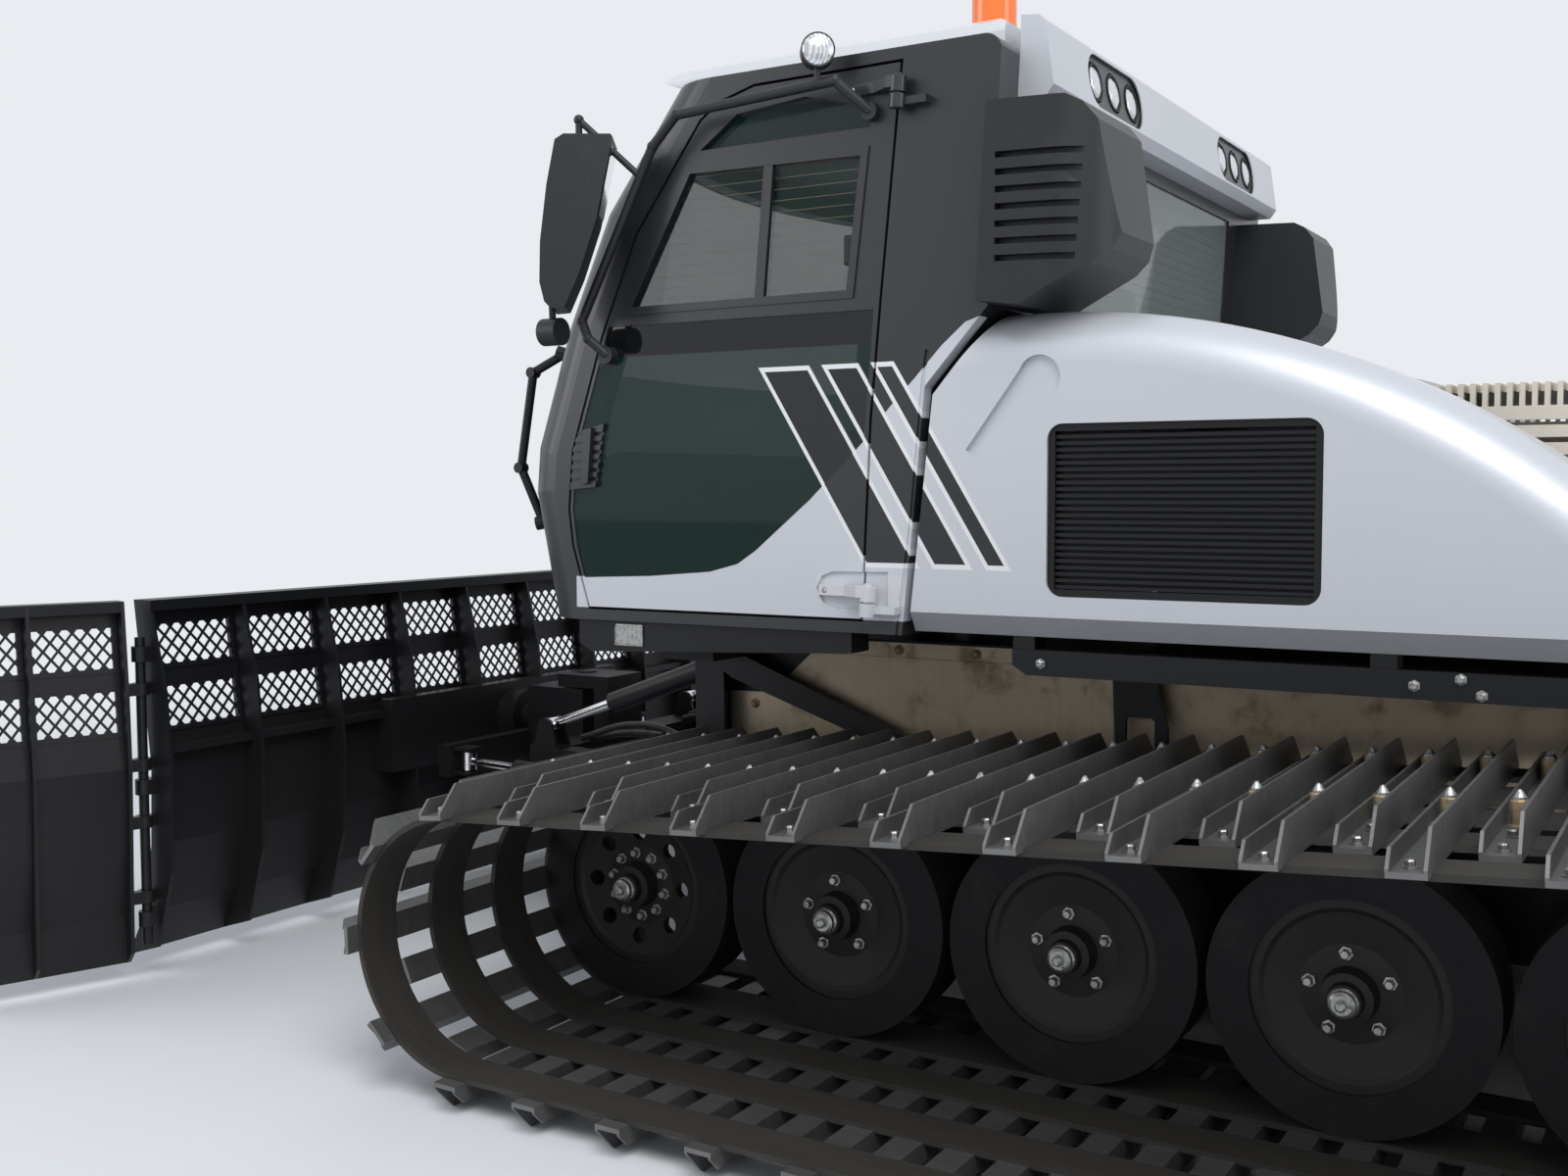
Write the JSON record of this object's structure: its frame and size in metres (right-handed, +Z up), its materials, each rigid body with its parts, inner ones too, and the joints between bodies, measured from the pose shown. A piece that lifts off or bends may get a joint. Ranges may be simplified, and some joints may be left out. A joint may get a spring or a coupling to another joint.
{
  "type": "snowcat groomer",
  "caption": "Tracked snow grooming machine with a glazed cab, a folding front blade and a rear tiller, its doors, blade, wings and tiller on joints.",
  "frame": {"origin": "on the ground under the middle of the machine's bounding box", "axes": "+X forward, +Y to the machine's left, +Z up"},
  "size_m": [7.43, 4.697, 2.9861],
  "materials": {
    "graphite_paint": "satin anthracite paint",
    "silver_paint": "metallic silver-white paint",
    "roof_white": "gloss white paint",
    "black_steel": "semi-matt black paint",
    "stained_stainless": "brushed stainless with tan grime",
    "track_steel": "worn bare steel on rubber belts",
    "tyre_rubber": "matt black rubber",
    "wheel_steel": "dark painted steel",
    "tinted_glass": "green tinted glass",
    "seat_fabric": "dark grey cloth",
    "cab_plastic": "grained black plastic",
    "lamp_orange": "translucent orange plastic",
    "chrome_rod": "polished hard chrome",
    "engine_iron": "cast iron",
    "flap_rubber": "black rubber sheet",
    "grey_steel": "grey paint",
    "lamp_glass": "clear ribbed lens over a bright reflector",
    "mirror_glass": "silvered glass",
    "zinc_steel": "zinc plated bolts"
  },
  "bodies": {
    "carrier": {"hull": "black_steel", "hull_brackets": "black_steel", "hull_side_panels": "stained_stainless", "engine": "engine_iron", "body_shell": "silver_paint", "side_grilles": "black_steel", "side_frames": "black_steel", "exhaust_guard": "stained_stainless", "axle_arms": "black_steel", "road_wheels": "wheel_steel", "tyres": "tyre_rubber", "drive_sprockets": "wheel_steel", "track_left": "track_steel", "track_right": "track_steel", "cab_shell": "graphite_paint", "cab_roof": "roof_white", "rear_light_bar": "silver_paint", "cab_glass": "tinted_glass", "seats": "seat_fabric", "dashboard": "cab_plastic", "intake_pods": "cab_plastic", "front_rails": "black_steel", "beacon": "lamp_orange", "work_lamps": "cab_plastic"},
    "door_left": {"door_left": "graphite_paint", "door_glass_left": "tinted_glass", "mirror_left": "cab_plastic"},
    "door_right": {"door_right": "graphite_paint", "door_glass_right": "tinted_glass", "mirror_right": "cab_plastic"},
    "push_frame": {"push_frame": "black_steel"},
    "blade_head": {"blade_head": "black_steel"},
    "blade": {"moldboard": "black_steel", "blade_mesh": "black_steel"},
    "wing_left": {"wing_left": "black_steel"},
    "wing_right": {"wing_right": "black_steel"},
    "lift_barrels": {"lift_barrels": "black_steel"},
    "lift_rods": {"lift_rods": "chrome_rod"},
    "angle_barrel_left": {"angle_barrel_left": "black_steel"},
    "angle_rod_left": {"angle_rod_left": "chrome_rod"},
    "angle_barrel_right": {"angle_barrel_right": "black_steel"},
    "angle_rod_right": {"angle_rod_right": "chrome_rod"},
    "tiller": {"tiller_frame": "black_steel", "tiller_housing": "grey_steel", "finisher_flap": "flap_rubber"},
    "tiller_drum": {"tiller_drum": "wheel_steel"},
    "tiller_barrels": {"tiller_barrels": "black_steel"},
    "tiller_rods": {"tiller_rods": "chrome_rod"}
  },
  "joints": [
    {"name": "door_left_hinge", "type": "hinge", "parent": "carrier", "child": "door_left", "pos_m": [0.96501, 1.284, 1.342], "axis": [-0.0659, 0, 0.9978], "range_deg": [0, 85]},
    {"name": "door_right_hinge", "type": "hinge", "parent": "carrier", "child": "door_right", "pos_m": [0.96501, -1.284, 1.342], "axis": [0.0659, 0, -0.9978], "range_deg": [0, 85]},
    {"name": "blade_lift", "type": "hinge", "parent": "carrier", "child": "push_frame", "pos_m": [2.00501, 0, 0.58], "axis": [0, -1, 0], "range_deg": [-2, 22]},
    {"name": "blade_angle", "type": "hinge", "parent": "push_frame", "child": "blade_head", "pos_m": [2.94501, 0, 0.64], "axis": [0, 0, 1], "range_deg": [-18, 18]},
    {"name": "blade_tilt", "type": "hinge", "parent": "blade_head", "child": "blade", "pos_m": [2.94501, 0, 0.68], "axis": [1, 0, 0], "range_deg": [-8, 8]},
    {"name": "wing_left_fold", "type": "hinge", "parent": "blade", "child": "wing_left", "pos_m": [3.43501, 1.73, 0.6], "axis": [0, 0, -1], "range_deg": [-20, 40]},
    {"name": "wing_right_fold", "type": "hinge", "parent": "blade", "child": "wing_right", "pos_m": [3.43501, -1.73, 0.6], "axis": [0, 0, 1], "range_deg": [-20, 40]},
    {"name": "lift_barrel_swing", "type": "hinge", "parent": "carrier", "child": "lift_barrels", "pos_m": [1.99501, 0, 1.01], "axis": [0, -1, 0], "range_deg": [-1.66, 17.81]},
    {"name": "lift_rod_slide", "type": "slide", "parent": "lift_barrels", "child": "lift_rods", "axis": [0.9403, 0, -0.3403], "range_m": [-0.15445, 0.0145]},
    {"name": "angle_barrel_left_swing", "type": "hinge", "parent": "push_frame", "child": "angle_barrel_left", "pos_m": [2.30501, 0.64, 0.585], "axis": [0, 0, 1], "range_deg": [-1.88, 1.88]},
    {"name": "angle_rod_left_slide", "type": "slide", "parent": "angle_barrel_left", "child": "angle_rod_left", "axis": [0.9921, -0.1256, 0], "range_m": [-0.17472, 0.17472]},
    {"name": "angle_barrel_right_swing", "type": "hinge", "parent": "push_frame", "child": "angle_barrel_right", "pos_m": [2.30501, -0.64, 0.585], "axis": [0, 0, 1], "range_deg": [-1.88, 1.88]},
    {"name": "angle_rod_right_slide", "type": "slide", "parent": "angle_barrel_right", "child": "angle_rod_right", "axis": [0.9921, 0.1256, 0], "range_m": [-0.17472, 0.17472]},
    {"name": "tiller_lift", "type": "hinge", "parent": "carrier", "child": "tiller", "pos_m": [-2.14499, 0, 0.56], "axis": [0, 1, 0], "range_deg": [0, 25]},
    {"name": "tiller_drum_spin", "type": "hinge", "parent": "tiller", "child": "tiller_drum", "pos_m": [-2.87499, 0, 0.202], "axis": [0, 1, 0], "continuous": true},
    {"name": "tiller_barrel_swing", "type": "hinge", "parent": "carrier", "child": "tiller_barrels", "pos_m": [-2.11499, 0, 1], "axis": [0, 1, 0], "range_deg": [-0.05, 17.36]},
    {"name": "tiller_rod_slide", "type": "slide", "parent": "tiller_barrels", "child": "tiller_rods", "axis": [-0.9, 0, -0.4359], "range_m": [-0.16758, 0.0005]}
  ],
  "couplings": [
    {"joint": "lift_barrel_swing", "follows": "blade_lift", "ratio": 0.80734},
    {"joint": "lift_rod_slide", "follows": "blade_lift", "m_per_rad": -0.40094},
    {"joint": "angle_barrel_left_swing", "follows": "blade_angle", "ratio": 0.10172},
    {"joint": "angle_rod_left_slide", "follows": "blade_angle", "m_per_rad": -0.55456},
    {"joint": "angle_barrel_right_swing", "follows": "blade_angle", "ratio": 0.10172},
    {"joint": "angle_rod_right_slide", "follows": "blade_angle", "m_per_rad": 0.55456},
    {"joint": "tiller_barrel_swing", "follows": "tiller_lift", "ratio": 0.69231},
    {"joint": "tiller_rod_slide", "follows": "tiller_lift", "m_per_rad": -0.38291}
  ]
}
